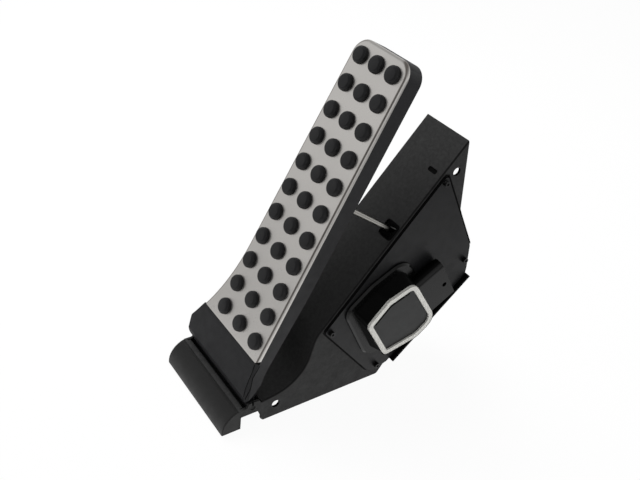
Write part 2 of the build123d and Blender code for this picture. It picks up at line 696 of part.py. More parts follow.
def tread_plate():
    outline = pad_face()
    low = FACE_HEIGHT - TREAD_LIP
    tray = on_pad(outline & above(TREAD_LOW), low, FACE_HEIGHT)
    tray = fillet(rolled_edges(tray, FACE_HEIGHT, TREAD_LOW), TREAD_BEND)
    inside_face = offset(outline, -TREAD) & above(TREAD_LOW - SKIN)
    inside = on_pad(inside_face, low - TREAD, FACE_HEIGHT - TREAD)
    rolled = rolled_edges(inside, FACE_HEIGHT - TREAD, TREAD_LOW - SKIN)
    tray -= fillet(rolled, TREAD_BEND - TREAD)
    hole = Circle(STUD_R + STUD_HOLE_GAP)
    holes = Sketch() + [Pos(*place) * hole for place in stud_places()]
    tray -= on_pad(holes, low, FACE_HEIGHT + TREAD)
    return tray - on_pad(tread_corner(), low - TREAD, FACE_HEIGHT + TREAD)


def tread_corner():
    """What is rounded off the tread's lower right corner."""
    reach = TREAD_LOW_CORNER - TREAD_CORNER_INSET
    middle = (pad_right(TREAD_LOW) - reach, TREAD_LOW + reach)
    square = Pos(middle[0] + FAR / 2, middle[1] - FAR / 2) * Rectangle(FAR, FAR)
    return square - Pos(*middle) * Circle(TREAD_LOW_CORNER)


def rolled_edges(block, height, cut):
    """Edges round a pad block's top face, leaving out its straight lower cut."""
    edges = []
    for edge in block.edges():
        place = PAD.to_local_coords(edge.center())
        ends = [PAD.to_local_coords(vertex.center()) for vertex in edge.vertices()]
        on_top = all(abs(end.Z - height) < SEAT_FIT for end in ends)
        if on_top and abs(place.Y - cut) > SEAT_FIT:
            edges.append(edge)
    return edges


def rubber_mat():
    outline = pad_face()
    sheet = offset(outline, -MAT_INSET) & above(TREAD_LOW + TREAD)
    mat = on_pad(sheet, BODY_TOP, FACE_HEIGHT - TREAD)
    face = Circle(STUD_R)
    for place in stud_places():
        stud = on_pad(Pos(*place) * face, BODY_TOP + TREAD, FACE_HEIGHT + STUD_SHOULDER)
        top = PAD.offset(FACE_HEIGHT + STUD_SHOULDER) * Pos(*place)
        rise = STUD_HEIGHT - STUD_SHOULDER
        cap = Cone(STUD_R, STUD_TOP_R, rise, align=(Align.CENTER, Align.CENTER, Align.MIN))
        mat += stud + top * cap
    return mat


def hinge_bushes():
    bushes = []
    for low in (-BARREL_HALF, BARREL_HALF - BUSH_LENGTH):
        bush = bar(HINGE, BUSH_R, low, low + BUSH_LENGTH)
        bushes.append(bush - bar(HINGE, PIN_R + RUNNING_FIT, low, low + BUSH_LENGTH))
    return Compound(bushes)


# Push rod and lever inside the box
def push_rod():
    tip = Vector(LEVER_X - HOOK_PAST_LEVER, *ROD_LOW)
    line = FilletPolyline(BALL, KNEE, HOOK_CORNER, tip, radius=[ROD_KNEE_BEND, ROD_BEND])
    start = Plane(origin=line @ 0, z_dir=line % 0)
    rod = sweep(start * Circle(ROD_R), path=line)
    return rod + Pos(BALL) * Sphere(ROD_BALL_R)


def rod_clip():
    high = LEVER_X - SIDE_GAP
    ring = bar(ROD_LOW, ROD_CLIP_R, high - ROD_CLIP, high)
    return ring - bar(ROD_LOW, ROD_R + SEAT_FIT, high - ROD_CLIP, high)


def lever_arm():
    hub = Pos(*SHAFT) * Circle(LEVER_HUB_R)
    tip = Pos(*ROD_LOW) * Circle(LEVER_TIP_R)
    plate = make_hull([*hub.edges(), *tip.edges()])
    slot = SlotCenterToCenter(LEVER_SLOT_PLAY, 2 * (ROD_R + LEVER_SLOT_GAP))
    plate -= Pos(*ROD_LOW) * Rot(0, 0, LEVER_ANGLE) * slot
    boss = bar(SHAFT, LEVER_BOSS_R, SPRING_HIGH, LEVER_FACE)
    arm = slab(plate, LEVER_X, LEVER_FACE) + boss
    return arm - bar(SHAFT, SHAFT_R + SEAT_FIT, BOX_LEFT, WALL)


def lever_shaft():
    return bar(SHAFT, SHAFT_R, BOX_LEFT - SHEET / 2, HOUSING_BASE + SHAFT_ENTRY)


def lever_peg():
    return bar(polar(SHAFT, PEG_AT, LEVER_ANGLE), PEG_R, SPRING_LOW, LEVER_X)


def shaft_bush(low, high, flange_low):
    """Bush round the shaft with a flange on the inside of the sheet."""
    bush = bar(SHAFT, SHAFT_BUSH_R, low, high)
    bush += bar(SHAFT, SHAFT_BUSH_FLANGE_R, flange_low, flange_low + SHAFT_BUSH_FLANGE)
    return bush - bar(SHAFT, SHAFT_R + RUNNING_FIT, low, high)


def shaft_bush_left():
    return shaft_bush(BOX_LEFT, SPRING_LOW, BOX_LEFT_IN)


def shaft_bush_right():
    inside = WALL - SHAFT_BUSH_FLANGE
    return shaft_bush(inside, COVER_FACE, inside)


def spring_peg():
    return bar(polar(SHAFT, PEG_AT, FIXED_PEG_ANGLE), PEG_R, BOX_LEFT_IN, SPRING_HIGH)


def stop_place():
    """Place of the rest stop beside the lever."""
    taper = (LEVER_HUB_R - LEVER_TIP_R) / LEVER_LENGTH
    aside = (LEVER_HUB_R - taper * STOP_ALONG) + STOP_SLEEVE_R + STOP_GAP
    return polar(polar(SHAFT, STOP_ALONG, LEVER_ANGLE), aside, LEVER_ANGLE + 90)


def stop_peg():
    return bar(stop_place(), STOP_PEG_R, BOX_LEFT_IN, LEVER_FACE + 1.5 * SIDE_GAP)


def stop_sleeve():
    low = LEVER_X - SIDE_GAP
    high = LEVER_FACE + SIDE_GAP
    sleeve = bar(stop_place(), STOP_SLEEVE_R, low, high)
    return sleeve - bar(stop_place(), STOP_PEG_R + SEAT_FIT, low, high)


def return_spring(number):
    """Torsion spring round the shaft: coil, leg to the lever peg, leg to the fixed peg."""
    lean = degrees(atan2(*spring_leg_reach()))
    first = FIXED_PEG_ANGLE + lean
    last = LEVER_ANGLE - lean
    turns = SPRING_TURNS + ((last - first) % 360) / 360
    length = SPRING_PITCH * turns
    low = SPRING_LOW + number * SPRING_ROOM + (SPRING_ROOM - length) / 2
    axis = Plane(origin=(low, *SHAFT), x_dir=(0, 1, 0), z_dir=(1, 0, 0))
    coil = Helix(SPRING_PITCH, length, SPRING_R)
    fixed_leg = Line(coil @ 0 - (coil % 0) * SPRING_LEG, coil @ 0)
    moving_leg = Line(coil @ 1, coil @ 1 + (coil % 1) * SPRING_LEG)
    wire = Wire([fixed_leg, coil, moving_leg])
    start = Plane(origin=wire @ 0, z_dir=wire % 0)
    spring = sweep(start * Circle(SPRING_WIRE / 2), path=wire)
    return axis * Rot(0, 0, first) * spring


def spring_leg_reach():
    """Distance of a peg along and beside the spring leg that leans on it."""
    beside = SPRING_R - SPRING_WIRE / 2 - PEG_R
    return (PEG_AT**2 - beside**2) ** 0.5, beside


# Position sensor
def sensor_plane(x):
    """Plane square to X with its first axis towards the connector."""
    return Plane(origin=(x, *SHAFT), x_dir=SENSOR_SIDE, z_dir=(1, 0, 0))


def sensor_slab(face, low, high):
    return extrude(sensor_plane(low) * face, amount=high - low)


def sensor_top():
    """Outline of the pale rim on the sensor's outer face."""
    return rounded(SENSOR_TOP, SENSOR_TOP_ROUND)


def sensor_foot():
    """Outline of the sensor's body at the cover."""
    return rounded(SENSOR_FOOT, SENSOR_FOOT_ROUND)


def sensor_screw_places():
    return [polar(SHAFT, SENSOR_SCREW_AT, SENSOR_TURN + way) for way in (90, 270)]


def shroud_middle():
    return (PLUG_SHROUD_LOW + PLUG_SHROUD_HIGH) / 2


def sensor_housing():
    foot = sensor_plane(HOUSING_BASE) * sensor_foot()
    body = loft([foot, sensor_plane(RIM_BASE) * sensor_top()])
    collar = sensor_slab(offset(sensor_foot(), COLLAR_MARGIN), HOUSING_BASE, HOUSING_BASE + COLLAR)
    body += chamfer(collar.faces().sort_by(Axis.X)[-1].edges(), COLLAR_EDGE)
    low = COVER_FACE + PLUG_SHROUD_BASE
    high = low + PLUG_SHROUD_HEIGHT
    body += plug_block(low, high)
    wide = PLUG_SHROUD_HIGH - PLUG_SHROUD_LOW
    socket_middle = PLUG_SHROUD_END - PLUG_SOCKET_DEPTH / 2
    socket = Rectangle(PLUG_SOCKET_DEPTH, wide - 2 * PLUG_SHROUD_WALL)
    socket = Pos(socket_middle, shroud_middle()) * socket
    body -= sensor_slab(socket, low + PLUG_SHROUD_WALL, high - PLUG_SHROUD_WALL)
    latch = Pos(PLUG_SHROUD_END - LATCH_HOLE_FROM_MOUTH, shroud_middle()) * Circle(LATCH_HOLE_R)
    body -= sensor_slab(latch, high - PLUG_SHROUD_WALL - SEAT_FIT, high + SHEET)
    body -= bar(SHAFT, SHAFT_R + RUNNING_FIT, HOUSING_BASE, HOUSING_BASE + SHAFT_ENTRY + SIDE_GAP)
    tip = COVER_FACE - SHEET + SENSOR_SCREW_LENGTH
    for place in sensor_screw_places():
        body -= bar(place, SENSOR_SCREW_R + SEAT_FIT, HOUSING_BASE, tip)
    return body


def plug_block(low, high):
    """Connector block with a fully rounded rib along its upper side."""
    middle = (PLUG_SHROUD_LOW + PLUG_RIB_AT) / 2
    face = Rectangle(PLUG_SHROUD_END, PLUG_RIB_AT - PLUG_SHROUD_LOW)
    block = sensor_slab(Pos(PLUG_SHROUD_END / 2, middle) * face, low, high)
    start = sensor_plane((low + high) / 2).from_local_coords(Vector(0, PLUG_RIB_AT, 0))
    rib = Plane(origin=start, z_dir=SENSOR_SIDE) * Circle(PLUG_SHROUD_HEIGHT / 2)
    return block + extrude(rib, amount=PLUG_SHROUD_END)


def sensor_seal():
    gasket = offset(sensor_foot(), COLLAR_MARGIN - SEAL_INSET) - Circle(SEAL_HOLE_R)
    return sensor_slab(gasket, COVER_FACE, HOUSING_BASE)


def sensor_rim():
    ring = sensor_top() - offset(sensor_top(), -RIM_WIDTH)
    return sensor_slab(ring, RIM_BASE, SENSOR_FACE)


def sensor_lid():
    lid = offset(sensor_top(), -RIM_WIDTH - SEAT_FIT)
    return sensor_slab(lid, RIM_BASE, SENSOR_FACE - LID_RECESS)


def connector_terminals():
    floor = PLUG_SHROUD_END - PLUG_SOCKET_DEPTH
    middle = COVER_FACE + PLUG_SHROUD_BASE + PLUG_SHROUD_HEIGHT / 2
    low = middle - TERMINAL_THICKNESS / 2
    blades = []
    for number in range(TERMINALS):
        aside = shroud_middle() + (number - (TERMINALS - 1) / 2) * TERMINAL_PITCH
        blade = Pos(floor + TERMINAL_LENGTH / 2, aside) * Rectangle(TERMINAL_LENGTH, TERMINAL_WIDTH)
        blades.append(sensor_slab(blade, low, low + TERMINAL_THICKNESS))
    return Compound(blades)


def sensor_screws():
    screws = []
    for place in sensor_screw_places():
        screw = bar(place, SENSOR_SCREW_R, WALL, WALL + SENSOR_SCREW_LENGTH)
        screw += bar(place, SENSOR_SCREW_HEAD_R, WALL - SENSOR_SCREW_HEAD, WALL)
        screws.append(screw)
    return Compound(screws)


parts = {
    "pedal_box": pedal_box(),
    "toe_plate": toe_plate(),
    "side_cover": side_cover(),
    "cover_screws": cover_screws(),
    "rivet_nuts": rivet_nuts(),
    "slot_plug": slot_plug(),
    "heel_bar": heel_bar(),
    "heel_screws": heel_screws(),
    "hinge_pin": hinge_pin(),
    "shaft_bush_left": shaft_bush_left(),
    "shaft_bush_right": shaft_bush_right(),
    "spring_peg": spring_peg(),
    "stop_peg": stop_peg(),
    "stop_sleeve": stop_sleeve(),
    "sensor_housing": sensor_housing(),
    "sensor_seal": sensor_seal(),
    "sensor_rim": sensor_rim(),
    "sensor_lid": sensor_lid(),
    "sensor_screws": sensor_screws(),
    "connector_terminals": connector_terminals(),
    "pedal_body": pedal_body(),
    "rubber_mat": rubber_mat(),
    "tread_plate": tread_plate(),
    "hinge_bushes": hinge_bushes(),
    "push_rod": push_rod(),
    "rod_clip": rod_clip(),
    "lever_arm": lever_arm(),
    "lever_shaft": lever_shaft(),
    "lever_peg": lever_peg(),
    "return_spring_left": return_spring(0),
    "return_spring_right": return_spring(1),
}

os.makedirs("parts", exist_ok=True)
for name, solid in parts.items():
    export_step(solid, f"parts/{name}.step")
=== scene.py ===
import json
import math

import bmesh
import bpy
from mathutils import Matrix, Vector
from mathutils.geometry import convex_hull_2d


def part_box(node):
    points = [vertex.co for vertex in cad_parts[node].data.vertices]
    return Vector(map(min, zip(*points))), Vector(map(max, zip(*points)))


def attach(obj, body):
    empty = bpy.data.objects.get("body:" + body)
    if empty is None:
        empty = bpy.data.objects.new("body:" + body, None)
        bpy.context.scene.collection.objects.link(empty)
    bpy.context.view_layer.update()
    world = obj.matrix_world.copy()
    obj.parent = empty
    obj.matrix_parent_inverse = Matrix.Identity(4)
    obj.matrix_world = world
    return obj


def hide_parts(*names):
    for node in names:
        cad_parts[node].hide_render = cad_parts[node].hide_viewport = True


# Looks of the accelerator pedal. Metres, in the CAD frame: X across the pedal towards the
# sensor, +Y forward, +Z up, floor at Z = 0. The pieces' own measures are in millimetres.

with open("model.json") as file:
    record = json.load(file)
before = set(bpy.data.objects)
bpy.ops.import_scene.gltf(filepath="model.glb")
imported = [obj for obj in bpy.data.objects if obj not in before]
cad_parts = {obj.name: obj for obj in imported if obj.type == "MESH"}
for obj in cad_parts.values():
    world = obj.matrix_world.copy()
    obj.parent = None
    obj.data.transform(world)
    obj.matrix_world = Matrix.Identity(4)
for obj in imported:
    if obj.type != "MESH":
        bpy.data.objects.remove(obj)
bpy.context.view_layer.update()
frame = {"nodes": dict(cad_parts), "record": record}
nodes = frame["nodes"]
scene = bpy.context.scene
scene.view_settings.view_transform = "Standard"

MM = 0.001
WHITE = (1.0, 1.0, 1.0, 1.0)

# Sockets of the Mix node when it mixes colours.
MIX_SHARE = 0
MIX_FIRST = 6
MIX_SECOND = 7
MIX_RESULT = 2

# Noise: features per metre, and the part of its range that a finish uses.
NOISE_LOW = 0.3
NOISE_HIGH = 0.7
NOISE_ROUGHNESS = 0.55

# Painted, moulded and rubber finishes.
GRAIN_DETAIL = 4.0
BLOTCH_DETAIL = 3.0
WEAR_SCALE = 140.0
WEAR_DETAIL = 5.0
WEAR_SPREAD = 0.07

# Brushed finishes.
STREAK_DETAIL = 5.0
STREAK_ROUGHNESS = 0.65
STREAK_TONE = 0.12
STREAK_POLISH = 0.06
STREAK_RELIEF = 0.02
SMUDGE_SCALE = 22.0
SMUDGE_DETAIL = 2.0
SMUDGE_POLISH = 0.03
PAD_TURN = (math.radians(-63.0), 0.0, 0.0)

# Painted shade and reflection: dark lines on the box's folds and the cover's rim, a brown dark
# reflection on the tread's bend, and shade on the rod's inner end. A pair of limits says how far
# the surface faces along X, from 0 to 1.
LINE_BLACK = (0.0015, 0.0015, 0.0015)
RIM_FACING = (0.35, 0.75)
FOLD_DARK = 0.85
FOLD_LEAVES = (0.05, 0.30)
FOLD_REACHES = (0.90, 0.995)
BEND_REFLECTION_SHARE = 0.75
BEND_LEAVES = (0.06, 0.20)
BEND_REACHES = (0.50, 0.75)
BEND_REFLECTION_BROWN = (0.17, 0.145, 0.125)
ROD_DARK_FROM = 117.0
ROD_DARK_TO = 125.0
ROD_SHADE = (0.012, 0.012, 0.011)

# Grain and blotch are in features per metre, and relief is in millimetres.
GRAINED_FINISHES = {
    "box_paint": {
        "colour": (0.030, 0.030, 0.030),
        "rough": 0.60,
        "grain": 2600.0,
        "relief": 0.06,
        "specular": 0.20,
        "patch": 0.45,
        "blotch": 420.0,
    },
    "cover_paint": {
        "colour": (0.009, 0.009, 0.0098),
        "rough": 0.42,
        "grain": 1800.0,
        "relief": 0.02,
        "specular": 0.225,
    },
    "heel_rubber": {
        "colour": (0.012, 0.012, 0.012),
        "rough": 0.48,
        "grain": 1500.0,
        "relief": 0.02,
        "specular": 0.27,
    },
    "mat_rubber": {
        "colour": (0.008, 0.008, 0.0088),
        "rough": 0.46,
        "grain": 1900.0,
        "relief": 0.03,
        "specular": 0.32,
    },
    "body_plastic": {
        "colour": (0.012, 0.012, 0.0135),
        "rough": 0.50,
        "grain": 2100.0,
        "relief": 0.03,
        "specular": 0.20,
        "patch": 0.30,
        "blotch": 90.0,
    },
    # Lit copy of the body plastic, a little lighter and with a higher specular: painted light on
    # the pedal body's side walls.
    "lit_side_plastic": {
        "colour": (0.013, 0.013, 0.0145),
        "rough": 0.50,
        "grain": 2100.0,
        "relief": 0.03,
        "specular": 0.32,
        "patch": 0.40,
        "blotch": 110.0,
    },
    "bush_plastic": {
        "colour": (0.045, 0.045, 0.047),
        "rough": 0.45,
        "grain": 1500.0,
        "relief": 0.02,
        "specular": 0.40,
    },
    "seal_rubber": {
        "colour": (0.006, 0.006, 0.006),
        "rough": 0.65,
        "grain": 1500.0,
        "relief": 0.02,
        "specular": 0.40,
    },
    "sensor_plastic": {
        "colour": (0.003, 0.003, 0.003),
        "rough": 0.20,
        "grain": 1500.0,
        "relief": 0.01,
        "specular": 0.25,
    },
    # Shaded copy of the sensor plastic, with a lower specular: painted shade on the housing's
    # sides.
    "shaded_side_plastic": {
        "colour": (0.003, 0.003, 0.003),
        "rough": 0.34,
        "grain": 1500.0,
        "relief": 0.01,
        "specular": 0.06,
    },
    "rim_plastic": {
        "colour": (0.88, 0.87, 0.82),
        "rough": 0.45,
        "grain": 1300.0,
        "relief": 0.01,
        "specular": 0.45,
        "patch": 0.03,
    },
    "lid_plastic": {
        "colour": (0.009, 0.0095, 0.0095),
        "rough": 0.36,
        "grain": 1200.0,
        "relief": 0.01,
        "specular": 0.34,
    },
    "screw_steel": {
        "colour": (0.035, 0.035, 0.035),
        "rough": 0.36,
        "grain": 1800.0,
        "relief": 0.01,
        "specular": 0.40,
        "metallic": 0.85,
    },
    # Black of the slot plug, toe plate and the rim's dark lip. The same finish is painted shade on
    # hole walls, in the pedal's creases, round the side cover, on the lid and round the rod's slot.
    "black_plug_and_shade": {
        "colour": (0.003, 0.003, 0.003),
        "rough": 0.60,
        "grain": 1500.0,
        "relief": 0.01,
        "specular": 0.05,
    },
    # Painted shade: near-black finish for the box's inner faces and its left wall.
    "inside_shade_black": {
        "colour": (0.006, 0.006, 0.006),
        "rough": 0.60,
        "grain": 2000.0,
        "relief": 0.02,
        "specular": 0.06,
    },
    "phosphate": {
        "colour": (0.012, 0.012, 0.012),
        "rough": 0.50,
        "grain": 2000.0,
        "relief": 0.02,
        "specular": 0.15,
    },
}

# Stretch is in streaks per metre along X, Y and Z.
BRUSHED_FINISHES = {
    "tread_steel": {
        "colour": (0.63, 0.61, 0.585),
        "rough": 0.34,
        "stretch": (1500.0, 50.0, 900.0),
        "turn": PAD_TURN,
    },
    "zinc_steel": {
        "colour": (0.55, 0.54, 0.50),
        "rough": 0.38,
        "stretch": (700.0, 700.0, 90.0),
    },
    "pin_steel": {
        "colour": (0.16, 0.16, 0.165),
        "rough": 0.34,
        "stretch": (90.0, 1500.0, 1500.0),
    },
    "rod_steel": {
        "colour": (0.42, 0.41, 0.385),
        "rough": 0.28,
        "stretch": (900.0, 90.0, 900.0),
    },
    "spring_steel": {
        "colour": (0.26, 0.26, 0.27),
        "rough": 0.36,
        "stretch": (900.0, 300.0, 300.0),
    },
    "terminal_brass": {
        "colour": (0.72, 0.60, 0.36),
        "rough": 0.30,
        "stretch": (900.0, 200.0, 900.0),
    },
}

# Nodes with a finish of their own in place of their slot's.
NODE_FINISHES = {
    "slot_plug": "black_plug_and_shade",
    "toe_plate": "black_plug_and_shade",
    "lever_arm": "phosphate",
    "lever_peg": "phosphate",
    "rod_clip": "phosphate",
    "hinge_pin": "phosphate",
}

# Places and facing limits for the faces that get a second finish.
PLATE_OUT = Vector((0.0, -0.77019, 0.63782))
PLATE_UP = Vector((0.0, 0.63782, 0.77019))
PLATE_POINT = Vector((0.0, 125.82, 135.19))
BOLT_HOLES = ((173.5, 176.5), (36.2, 11.7))
BOLT_REACH = 4.0
BOLT_WALL_FACING = 0.3
SLOT_MIDDLE = Vector((35.0, 125.82, 135.19))
SLOT_REACH = 9.5
SLOT_WALL_FACING = 0.5
PLATE_BACK_FACING = -0.5
WALL_FACING = 0.7
LEFT_WALL_REACH = 20.0
SENSOR_SIDE_FACING = 0.6
PEDAL_SIDE_FACING = 0.7

# End of the strip's rear flange, beside the hinge arm.
TAB_LOW = (24.0, 22.5, 9.4)
TAB_HIGH = (37.2, 30.0, 11.4)

# Rear edge of the heel bar's upstand, along the pedal's front edge.
UPSTAND_LIP_LOW = (-41.5, 7.0, 16.4)
UPSTAND_LIP_HIGH = (41.5, 9.4, 18.0)

# Black bands of painted shadow round the side cover, where it meets the wall. Rings are (distance
# outwards, height).
COVER_SPACING = 1.0
GAP_SHADE_NARROW = ((-0.5, 0.4), (0.4, 0.4), (0.75, 0.0))
GAP_SHADE_WIDE = ((-0.5, 0.3), (1.3, 0.3), (1.5, 0.0))
GAP_SHADE_FAR = ((-0.5, 0.3), (2.1, 0.3), (2.3, 0.0))
GAP_SHADE_SIDE = Vector((-0.770, 0.638))
GAP_SHADE_FAR_SIDE = Vector((0.873, 0.487))
GAP_SHADE_TURN = 0.80
GAP_SHADE_FAR_TURN = 0.97

# Dark lip below the sensor's rim, and a flat black strip of painted shade along the upper sides of
# its lid.
RIM_SPACING = 0.6
RIM_LIP_RINGS = ((-0.5, -0.15), (0.8, -0.15), (0.8, -1.4), (-0.5, -2.0))
RIM_LIP_TURN = -0.30
LID_SHADE_RINGS = ((-7.8, 0.05), (-5.6, 0.05))
LID_SHADE_TURN = 0.75
SENSOR_UP = Vector((-0.521, 0.854))

# Thin black sheet of painted shade round the rod's slot: left, right, low, high and corner radius
# on the face plate.
SLOT_SHADE_INNER = (29.23, 40.83, -6.0, 6.0, 1.5)
SLOT_SHADE_OUTER = (29.15, 43.0, -6.1, 7.2, 2.4)
SLOT_SHADE_THICK = 0.3
SLOT_SHADE_STEPS = 6

# Rounding of the studs' edges, whose angles are in degrees.
STUD_OUT = Vector((0.0, -0.8910, 0.4540))
STUD_TOP = 2.6
STUD_ROUND = 0.55
STUD_STEPS = 3
STUD_PROFILE = 0.5
STUD_EDGE_LEAST = 15.0
STUD_EDGE_MOST = 100.0
WELD_GAP = 0.001
FLAT_BELOW = 1.0
SMOOTH_BELOW = 55.0

# Thin black lines of painted shade along the creases at the lower right corner of the pedal body.
CREASE_SHADE_RADIUS = 0.28
CREASE_SHADE_ROUNDNESS = 2
CREASE_SHADE_FRONT = (
    (36.10, 20.51, 50.42),
    (36.70, 19.34, 47.57),
    (37.24, 18.08, 44.71),
    (37.63, 16.60, 41.82),
    (37.83, 15.24, 38.70),
    (38.17, 13.95, 35.65),
    (38.51, 12.65, 32.60),
    (39.36, 11.51, 29.91),
    (40.37, 10.42, 27.34),
)
CREASE_SHADE_SIDE = (
    (38.03, 23.56, 49.24),
    (38.15, 22.29, 47.01),
    (38.39, 20.84, 44.94),
    (38.75, 19.32, 43.01),
    (39.00, 17.92, 40.93),
    (39.57, 17.23, 38.80),
    (40.14, 16.54, 36.66),
    (40.72, 15.85, 34.53),
    (41.05, 14.77, 32.35),
    (41.29, 13.55, 30.15),
    (41.47, 12.25, 27.94),
    (41.65, 10.94, 25.73),
)

# Floor and room, in metres. The far floor, the ceiling and a strip in front are darker in mirrors.
FLOOR_SIZE = 12.0
FLOOR_GAP = 0.0005
FLOOR_COLOUR = (0.90, 0.90, 0.90, 1.0)
FLOOR_ROUGH = 0.9
FLOOR_SPECULAR = 0.1
FLOOR_WHITE_SHARE = 0.95
FLOOR_FAR_SHARE = 0.36
FLOOR_FADE = (0.12, 0.60)
ROOM_LIGHT = 0.53
MIRROR_LIGHT = 0.80
CEILING = (0.0, 0.0, 1.0)
CEILING_SHARE = 0.45
CEILING_FADE = (0.30, 0.80)
DARK_STRIP = (0.28, -0.945, 0.18)
STRIP_SHARE = 0.15
STRIP_FADE = (0.80, 0.95)

# Lamps and camera, in metres, watts and lens millimetres.
LAMP_SIDE = 0.7
KEY_PLACE = Vector((-0.55, 0.15, 1.0))
KEY_TARGET = Vector((0.0, 0.12, 0.12))
KEY_POWER = 14.0
FILL_PLACE = Vector((0.9, 0.1, 0.6))
FILL_TARGET = Vector((0.03, 0.12, 0.08))
FILL_POWER = 1.0
CAMERA_PLACE = (0.40162, -0.21612, 0.45801)
CAMERA_RIGHT = Vector((0.553, 0.827, 0.099))
CAMERA_BACK = Vector((0.656, -0.505, 0.562))
CAMERA_LENS = 46.67
CAMERA_SENSOR = 36.0


# Finishes
def new_material(name):
    """New material with its node tree, its shader and object coordinates."""
    material = bpy.data.materials.new(name)
    material.use_nodes = True
    tree = material.node_tree
    shader = tree.nodes["Principled BSDF"]
    coordinates = tree.nodes.new("ShaderNodeTexCoord")
    return material, tree, shader, coordinates.outputs["Object"]


def stretched(tree, source, stretch, turn):
    """Coordinates turned and stretched for streaks that run one way."""
    mapping = tree.nodes.new("ShaderNodeMapping")
    mapping.inputs["Rotation"].default_value = turn
    mapping.inputs["Scale"].default_value = stretch
    tree.links.new(source, mapping.inputs["Vector"])
    return mapping.outputs["Vector"]


def noise(tree, source, scale, detail, roughness=NOISE_ROUGHNESS):
    """Noise value at a number of features per metre."""
    node = tree.nodes.new("ShaderNodeTexNoise")
    node.inputs["Scale"].default_value = scale
    node.inputs["Detail"].default_value = detail
    node.inputs["Roughness"].default_value = roughness
    tree.links.new(source, node.inputs["Vector"])
    return node.outputs["Fac"]


def spread(tree, value, low, high, start=NOISE_LOW, end=NOISE_HIGH):
    """Value mapped from start..end to low..high."""
    node = tree.nodes.new("ShaderNodeMapRange")
    node.inputs["From Min"].default_value = start
    node.inputs["From Max"].default_value = end
    node.inputs["To Min"].default_value = low
    node.inputs["To Max"].default_value = high
    tree.links.new(value, node.inputs["Value"])
    return node.outputs["Result"]


def combined(tree, operation, first, second):
    """Two values put together by an operation of the Math node."""
    node = tree.nodes.new("ShaderNodeMath")
    node.operation = operation
    tree.links.new(first, node.inputs[0])
    tree.links.new(second, node.inputs[1])
    return node.outputs[0]


def tint(tree, value, colour, share):
    """Colour made darker and lighter by a share of itself, as a value goes from 0 to 1."""
    dark = [channel * (1.0 - share) for channel in colour]
    light = [min(1.0, channel * (1.0 + share)) for channel in colour]
    node = tree.nodes.new("ShaderNodeMix")
    node.data_type = "RGBA"
    node.inputs[MIX_FIRST].default_value = (*dark, 1.0)
    node.inputs[MIX_SECOND].default_value = (*light, 1.0)
    tree.links.new(value, node.inputs[MIX_SHARE])
    return node.outputs[MIX_RESULT]


def bump(tree, shader, value, height):
    """Fine relief from a value, with its height in millimetres."""
    node = tree.nodes.new("ShaderNodeBump")
    node.inputs["Strength"].default_value = 1.0
    node.inputs["Distance"].default_value = height * MM
    tree.links.new(value, node.inputs["Height"])
    tree.links.new(node.outputs["Normal"], shader.inputs["Normal"])


def grained(
    name, colour, rough, grain, relief, specular, metallic=0.0, patch=0.12, blotch=38.0
):
    """Paint, rubber or moulded plastic: fine grain, soft patches of tone and polish."""
    material, tree, shader, place = new_material(name)
    blotches = noise(tree, place, blotch, BLOTCH_DETAIL)
    tree.links.new(tint(tree, blotches, colour, patch), shader.inputs["Base Color"])
    wear = noise(tree, place, WEAR_SCALE, WEAR_DETAIL)
    polish = spread(tree, wear, rough - WEAR_SPREAD, rough + WEAR_SPREAD)
    tree.links.new(polish, shader.inputs["Roughness"])
    shader.inputs["Metallic"].default_value = metallic
    shader.inputs["Specular IOR Level"].default_value = specular
    bump(tree, shader, noise(tree, place, grain, GRAIN_DETAIL), relief)
    return material


def brushed(name, colour, rough, stretch, turn=(0.0, 0.0, 0.0)):
    """Brushed metal, with streaks along the axis that has the fewest of them."""
    material, tree, shader, place = new_material(name)
    along = stretched(tree, place, stretch, turn)
    streaks = noise(tree, along, 1.0, STREAK_DETAIL, STREAK_ROUGHNESS)
    tree.links.new(tint(tree, streaks, colour, STREAK_TONE), shader.inputs["Base Color"])
    smudges = noise(tree, place, SMUDGE_SCALE, SMUDGE_DETAIL)
    fine = spread(tree, streaks, rough - STREAK_POLISH, rough + STREAK_POLISH)
    broad = spread(tree, smudges, -SMUDGE_POLISH, SMUDGE_POLISH)
    tree.links.new(combined(tree, "ADD", fine, broad), shader.inputs["Roughness"])
    shader.inputs["Metallic"].default_value = 1.0
    bump(tree, shader, streaks, STREAK_RELIEF)
    return material


def facing_across(tree):
    """How far the surface faces along X, from 0 to 1."""
    coordinates = tree.nodes.new("ShaderNodeTexCoord")
    parts = tree.nodes.new("ShaderNodeSeparateXYZ")
    tree.links.new(coordinates.outputs["Normal"], parts.inputs[0])
    size = tree.nodes.new("ShaderNodeMath")
    size.operation = "ABSOLUTE"
    tree.links.new(parts.outputs["X"], size.inputs[0])
    return size.outputs[0]


def mix_base(material, share, colour):
    """Mix the base colour of a finish towards another colour by a share."""
    tree = material.node_tree
    base = tree.nodes["Principled BSDF"].inputs["Base Color"]
    node = tree.nodes.new("ShaderNodeMix")
    node.data_type = "RGBA"
    tree.links.new(share, node.inputs[MIX_SHARE])
    tree.links.new(base.links[0].from_socket, node.inputs[MIX_FIRST])
    node.inputs[MIX_SECOND].default_value = (*colour, 1.0)
    tree.links.new(node.outputs[MIX_RESULT], base)


def darken_rim(material):
    """Matt black line of painted shadow on the rim of a flat plate that faces along X."""
    tree = material.node_tree
    rough = tree.nodes["Principled BSDF"].inputs["Roughness"]
    rim = spread(tree, facing_across(tree), 1.0, 0.0, *RIM_FACING)
    mix_base(material, rim, LINE_BLACK)
    matt = combined(tree, "MAXIMUM", rough.links[0].from_socket, rim)
    tree.links.new(matt, rough)


